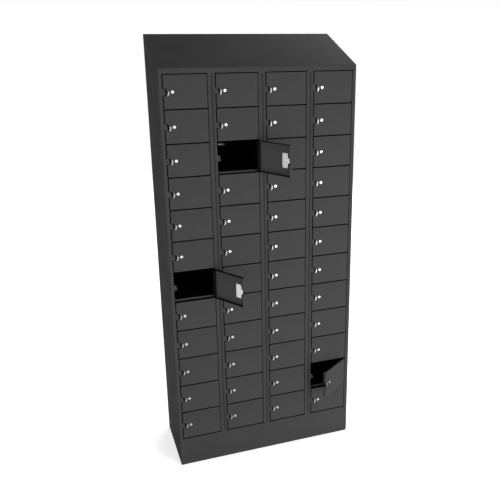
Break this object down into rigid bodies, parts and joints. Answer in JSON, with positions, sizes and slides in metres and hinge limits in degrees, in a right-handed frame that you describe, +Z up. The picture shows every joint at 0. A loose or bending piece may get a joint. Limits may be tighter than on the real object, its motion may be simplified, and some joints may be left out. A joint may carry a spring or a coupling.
{
  "type": "phone charging locker",
  "caption": "Tall bank of small lockable steel compartments for charging phones, with hinged doors, sloping hood and closed plinth.",
  "frame": {"origin": "on the floor, under the middle of the cabinet's footprint", "axes": "+Z up, the doors face -Y, +X is to the right of somebody facing the doors"},
  "size_m": [0.915, 0.5386, 2.103],
  "materials": {
    "cabinet_coat": "charcoal powder coat, fine texture, satin",
    "door_coat": "charcoal powder coat, fine texture, satin",
    "zinc_plate": "bright zinc plating"
  },
  "bodies": {
    "cabinet": {"base_plinth": "cabinet_coat", "carcass_wrapper": "cabinet_coat", "face_frame": "cabinet_coat", "hood": "cabinet_coat", "shelf_comb_c1": "cabinet_coat", "shelf_comb_c2": "cabinet_coat", "shelf_comb_c3": "cabinet_coat", "shelf_comb_c4": "cabinet_coat", "charging_plate_c1": "zinc_plate", "charging_plate_c2": "zinc_plate", "charging_plate_c3": "zinc_plate", "charging_plate_c4": "zinc_plate"},
    "locker_door_c1_r01": {"door_c1_r01": "door_coat"},
    "locker_door_c1_r02": {"door_c1_r02": "door_coat"},
    "locker_door_c1_r03": {"door_c1_r03": "door_coat"},
    "locker_door_c1_r04": {"door_c1_r04": "door_coat"},
    "locker_door_c1_r05": {"door_c1_r05": "door_coat"},
    "locker_door_c1_r06": {"door_c1_r06": "door_coat"},
    "locker_door_c1_r07": {"door_c1_r07": "door_coat"},
    "locker_door_c1_r08": {"door_c1_r08": "door_coat"},
    "locker_door_c1_r09": {"door_c1_r09": "door_coat"},
    "locker_door_c1_r10": {"door_c1_r10": "door_coat"},
    "locker_door_c1_r11": {"door_c1_r11": "door_coat"},
    "locker_door_c1_r12": {"door_c1_r12": "door_coat"},
    "locker_door_c2_r01": {"door_c2_r01": "door_coat"},
    "locker_door_c2_r02": {"door_c2_r02": "door_coat"},
    "locker_door_c2_r03": {"door_c2_r03": "door_coat"},
    "locker_door_c2_r04": {"door_c2_r04": "door_coat"},
    "locker_door_c2_r05": {"door_c2_r05": "door_coat"},
    "locker_door_c2_r06": {"door_c2_r06": "door_coat"},
    "locker_door_c2_r07": {"door_c2_r07": "door_coat"},
    "locker_door_c2_r08": {"door_c2_r08": "door_coat"},
    "locker_door_c2_r09": {"door_c2_r09": "door_coat"},
    "locker_door_c2_r10": {"door_c2_r10": "door_coat"},
    "locker_door_c2_r11": {"door_c2_r11": "door_coat"},
    "locker_door_c2_r12": {"door_c2_r12": "door_coat"},
    "locker_door_c3_r01": {"door_c3_r01": "door_coat"},
    "locker_door_c3_r02": {"door_c3_r02": "door_coat"},
    "locker_door_c3_r03": {"door_c3_r03": "door_coat"},
    "locker_door_c3_r04": {"door_c3_r04": "door_coat"},
    "locker_door_c3_r05": {"door_c3_r05": "door_coat"},
    "locker_door_c3_r06": {"door_c3_r06": "door_coat"},
    "locker_door_c3_r07": {"door_c3_r07": "door_coat"},
    "locker_door_c3_r08": {"door_c3_r08": "door_coat"},
    "locker_door_c3_r09": {"door_c3_r09": "door_coat"},
    "locker_door_c3_r10": {"door_c3_r10": "door_coat"},
    "locker_door_c3_r11": {"door_c3_r11": "door_coat"},
    "locker_door_c3_r12": {"door_c3_r12": "door_coat"},
    "locker_door_c4_r01": {"door_c4_r01": "door_coat"},
    "locker_door_c4_r02": {"door_c4_r02": "door_coat"},
    "locker_door_c4_r03": {"door_c4_r03": "door_coat"},
    "locker_door_c4_r04": {"door_c4_r04": "door_coat"},
    "locker_door_c4_r05": {"door_c4_r05": "door_coat"},
    "locker_door_c4_r06": {"door_c4_r06": "door_coat"},
    "locker_door_c4_r07": {"door_c4_r07": "door_coat"},
    "locker_door_c4_r08": {"door_c4_r08": "door_coat"},
    "locker_door_c4_r09": {"door_c4_r09": "door_coat"},
    "locker_door_c4_r10": {"door_c4_r10": "door_coat"},
    "locker_door_c4_r11": {"door_c4_r11": "door_coat"},
    "locker_door_c4_r12": {"door_c4_r12": "door_coat"}
  },
  "joints": [
    {"name": "hinge_c1_r01", "type": "hinge", "parent": "cabinet", "child": "locker_door_c1_r01", "pos_m": [-0.2478, -0.186, 1.88], "axis": [0, 0, 1], "range_deg": [0, 123]},
    {"name": "hinge_c1_r02", "type": "hinge", "parent": "cabinet", "child": "locker_door_c1_r02", "pos_m": [-0.2478, -0.186, 1.73], "axis": [0, 0, 1], "range_deg": [0, 123]},
    {"name": "hinge_c1_r03", "type": "hinge", "parent": "cabinet", "child": "locker_door_c1_r03", "pos_m": [-0.2478, -0.186, 1.58], "axis": [0, 0, 1], "range_deg": [0, 123]},
    {"name": "hinge_c1_r04", "type": "hinge", "parent": "cabinet", "child": "locker_door_c1_r04", "pos_m": [-0.2478, -0.186, 1.43], "axis": [0, 0, 1], "range_deg": [0, 123]},
    {"name": "hinge_c1_r05", "type": "hinge", "parent": "cabinet", "child": "locker_door_c1_r05", "pos_m": [-0.2478, -0.186, 1.28], "axis": [0, 0, 1], "range_deg": [0, 123]},
    {"name": "hinge_c1_r06", "type": "hinge", "parent": "cabinet", "child": "locker_door_c1_r06", "pos_m": [-0.2478, -0.186, 1.13], "axis": [0, 0, 1], "range_deg": [0, 123]},
    {"name": "hinge_c1_r07", "type": "hinge", "parent": "cabinet", "child": "locker_door_c1_r07", "pos_m": [-0.2478, -0.186, 0.98], "axis": [0, 0, 1], "range_deg": [-123, 0]},
    {"name": "hinge_c1_r08", "type": "hinge", "parent": "cabinet", "child": "locker_door_c1_r08", "pos_m": [-0.2478, -0.186, 0.83], "axis": [0, 0, 1], "range_deg": [0, 123]},
    {"name": "hinge_c1_r09", "type": "hinge", "parent": "cabinet", "child": "locker_door_c1_r09", "pos_m": [-0.2478, -0.186, 0.68], "axis": [0, 0, 1], "range_deg": [0, 123]},
    {"name": "hinge_c1_r10", "type": "hinge", "parent": "cabinet", "child": "locker_door_c1_r10", "pos_m": [-0.2478, -0.186, 0.53], "axis": [0, 0, 1], "range_deg": [0, 123]},
    {"name": "hinge_c1_r11", "type": "hinge", "parent": "cabinet", "child": "locker_door_c1_r11", "pos_m": [-0.2478, -0.186, 0.38], "axis": [0, 0, 1], "range_deg": [0, 123]},
    {"name": "hinge_c1_r12", "type": "hinge", "parent": "cabinet", "child": "locker_door_c1_r12", "pos_m": [-0.2478, -0.186, 0.23], "axis": [0, 0, 1], "range_deg": [0, 123]},
    {"name": "hinge_c2_r01", "type": "hinge", "parent": "cabinet", "child": "locker_door_c2_r01", "pos_m": [-0.0188, -0.186, 1.88], "axis": [0, 0, 1], "range_deg": [0, 123]},
    {"name": "hinge_c2_r02", "type": "hinge", "parent": "cabinet", "child": "locker_door_c2_r02", "pos_m": [-0.0188, -0.186, 1.73], "axis": [0, 0, 1], "range_deg": [0, 123]},
    {"name": "hinge_c2_r03", "type": "hinge", "parent": "cabinet", "child": "locker_door_c2_r03", "pos_m": [-0.0188, -0.186, 1.58], "axis": [0, 0, 1], "range_deg": [-123, 0]},
    {"name": "hinge_c2_r04", "type": "hinge", "parent": "cabinet", "child": "locker_door_c2_r04", "pos_m": [-0.0188, -0.186, 1.43], "axis": [0, 0, 1], "range_deg": [0, 123]},
    {"name": "hinge_c2_r05", "type": "hinge", "parent": "cabinet", "child": "locker_door_c2_r05", "pos_m": [-0.0188, -0.186, 1.28], "axis": [0, 0, 1], "range_deg": [0, 123]},
    {"name": "hinge_c2_r06", "type": "hinge", "parent": "cabinet", "child": "locker_door_c2_r06", "pos_m": [-0.0188, -0.186, 1.13], "axis": [0, 0, 1], "range_deg": [0, 123]},
    {"name": "hinge_c2_r07", "type": "hinge", "parent": "cabinet", "child": "locker_door_c2_r07", "pos_m": [-0.0188, -0.186, 0.98], "axis": [0, 0, 1], "range_deg": [0, 123]},
    {"name": "hinge_c2_r08", "type": "hinge", "parent": "cabinet", "child": "locker_door_c2_r08", "pos_m": [-0.0188, -0.186, 0.83], "axis": [0, 0, 1], "range_deg": [0, 123]},
    {"name": "hinge_c2_r09", "type": "hinge", "parent": "cabinet", "child": "locker_door_c2_r09", "pos_m": [-0.0188, -0.186, 0.68], "axis": [0, 0, 1], "range_deg": [0, 123]},
    {"name": "hinge_c2_r10", "type": "hinge", "parent": "cabinet", "child": "locker_door_c2_r10", "pos_m": [-0.0188, -0.186, 0.53], "axis": [0, 0, 1], "range_deg": [0, 123]},
    {"name": "hinge_c2_r11", "type": "hinge", "parent": "cabinet", "child": "locker_door_c2_r11", "pos_m": [-0.0188, -0.186, 0.38], "axis": [0, 0, 1], "range_deg": [0, 123]},
    {"name": "hinge_c2_r12", "type": "hinge", "parent": "cabinet", "child": "locker_door_c2_r12", "pos_m": [-0.0188, -0.186, 0.23], "axis": [0, 0, 1], "range_deg": [0, 123]},
    {"name": "hinge_c3_r01", "type": "hinge", "parent": "cabinet", "child": "locker_door_c3_r01", "pos_m": [0.2102, -0.186, 1.88], "axis": [0, 0, 1], "range_deg": [0, 123]},
    {"name": "hinge_c3_r02", "type": "hinge", "parent": "cabinet", "child": "locker_door_c3_r02", "pos_m": [0.2102, -0.186, 1.73], "axis": [0, 0, 1], "range_deg": [0, 123]},
    {"name": "hinge_c3_r03", "type": "hinge", "parent": "cabinet", "child": "locker_door_c3_r03", "pos_m": [0.2102, -0.186, 1.58], "axis": [0, 0, 1], "range_deg": [0, 123]},
    {"name": "hinge_c3_r04", "type": "hinge", "parent": "cabinet", "child": "locker_door_c3_r04", "pos_m": [0.2102, -0.186, 1.43], "axis": [0, 0, 1], "range_deg": [0, 123]},
    {"name": "hinge_c3_r05", "type": "hinge", "parent": "cabinet", "child": "locker_door_c3_r05", "pos_m": [0.2102, -0.186, 1.28], "axis": [0, 0, 1], "range_deg": [0, 123]},
    {"name": "hinge_c3_r06", "type": "hinge", "parent": "cabinet", "child": "locker_door_c3_r06", "pos_m": [0.2102, -0.186, 1.13], "axis": [0, 0, 1], "range_deg": [0, 123]},
    {"name": "hinge_c3_r07", "type": "hinge", "parent": "cabinet", "child": "locker_door_c3_r07", "pos_m": [0.2102, -0.186, 0.98], "axis": [0, 0, 1], "range_deg": [0, 123]},
    {"name": "hinge_c3_r08", "type": "hinge", "parent": "cabinet", "child": "locker_door_c3_r08", "pos_m": [0.2102, -0.186, 0.83], "axis": [0, 0, 1], "range_deg": [0, 123]},
    {"name": "hinge_c3_r09", "type": "hinge", "parent": "cabinet", "child": "locker_door_c3_r09", "pos_m": [0.2102, -0.186, 0.68], "axis": [0, 0, 1], "range_deg": [0, 123]},
    {"name": "hinge_c3_r10", "type": "hinge", "parent": "cabinet", "child": "locker_door_c3_r10", "pos_m": [0.2102, -0.186, 0.53], "axis": [0, 0, 1], "range_deg": [0, 123]},
    {"name": "hinge_c3_r11", "type": "hinge", "parent": "cabinet", "child": "locker_door_c3_r11", "pos_m": [0.2102, -0.186, 0.38], "axis": [0, 0, 1], "range_deg": [0, 123]},
    {"name": "hinge_c3_r12", "type": "hinge", "parent": "cabinet", "child": "locker_door_c3_r12", "pos_m": [0.2102, -0.186, 0.23], "axis": [0, 0, 1], "range_deg": [0, 123]},
    {"name": "hinge_c4_r01", "type": "hinge", "parent": "cabinet", "child": "locker_door_c4_r01", "pos_m": [0.4392, -0.186, 1.88], "axis": [0, 0, 1], "range_deg": [0, 123]},
    {"name": "hinge_c4_r02", "type": "hinge", "parent": "cabinet", "child": "locker_door_c4_r02", "pos_m": [0.4392, -0.186, 1.73], "axis": [0, 0, 1], "range_deg": [0, 123]},
    {"name": "hinge_c4_r03", "type": "hinge", "parent": "cabinet", "child": "locker_door_c4_r03", "pos_m": [0.4392, -0.186, 1.58], "axis": [0, 0, 1], "range_deg": [0, 123]},
    {"name": "hinge_c4_r04", "type": "hinge", "parent": "cabinet", "child": "locker_door_c4_r04", "pos_m": [0.4392, -0.186, 1.43], "axis": [0, 0, 1], "range_deg": [0, 123]},
    {"name": "hinge_c4_r05", "type": "hinge", "parent": "cabinet", "child": "locker_door_c4_r05", "pos_m": [0.4392, -0.186, 1.28], "axis": [0, 0, 1], "range_deg": [0, 123]},
    {"name": "hinge_c4_r06", "type": "hinge", "parent": "cabinet", "child": "locker_door_c4_r06", "pos_m": [0.4392, -0.186, 1.13], "axis": [0, 0, 1], "range_deg": [0, 123]},
    {"name": "hinge_c4_r07", "type": "hinge", "parent": "cabinet", "child": "locker_door_c4_r07", "pos_m": [0.4392, -0.186, 0.98], "axis": [0, 0, 1], "range_deg": [0, 123]},
    {"name": "hinge_c4_r08", "type": "hinge", "parent": "cabinet", "child": "locker_door_c4_r08", "pos_m": [0.4392, -0.186, 0.83], "axis": [0, 0, 1], "range_deg": [0, 123]},
    {"name": "hinge_c4_r09", "type": "hinge", "parent": "cabinet", "child": "locker_door_c4_r09", "pos_m": [0.4392, -0.186, 0.68], "axis": [0, 0, 1], "range_deg": [0, 123]},
    {"name": "hinge_c4_r10", "type": "hinge", "parent": "cabinet", "child": "locker_door_c4_r10", "pos_m": [0.4392, -0.186, 0.53], "axis": [0, 0, 1], "range_deg": [0, 123]},
    {"name": "hinge_c4_r11", "type": "hinge", "parent": "cabinet", "child": "locker_door_c4_r11", "pos_m": [0.4392, -0.186, 0.38], "axis": [0, 0, 1], "range_deg": [-36, 87]},
    {"name": "hinge_c4_r12", "type": "hinge", "parent": "cabinet", "child": "locker_door_c4_r12", "pos_m": [0.4392, -0.186, 0.23], "axis": [0, 0, 1], "range_deg": [0, 123]}
  ]
}
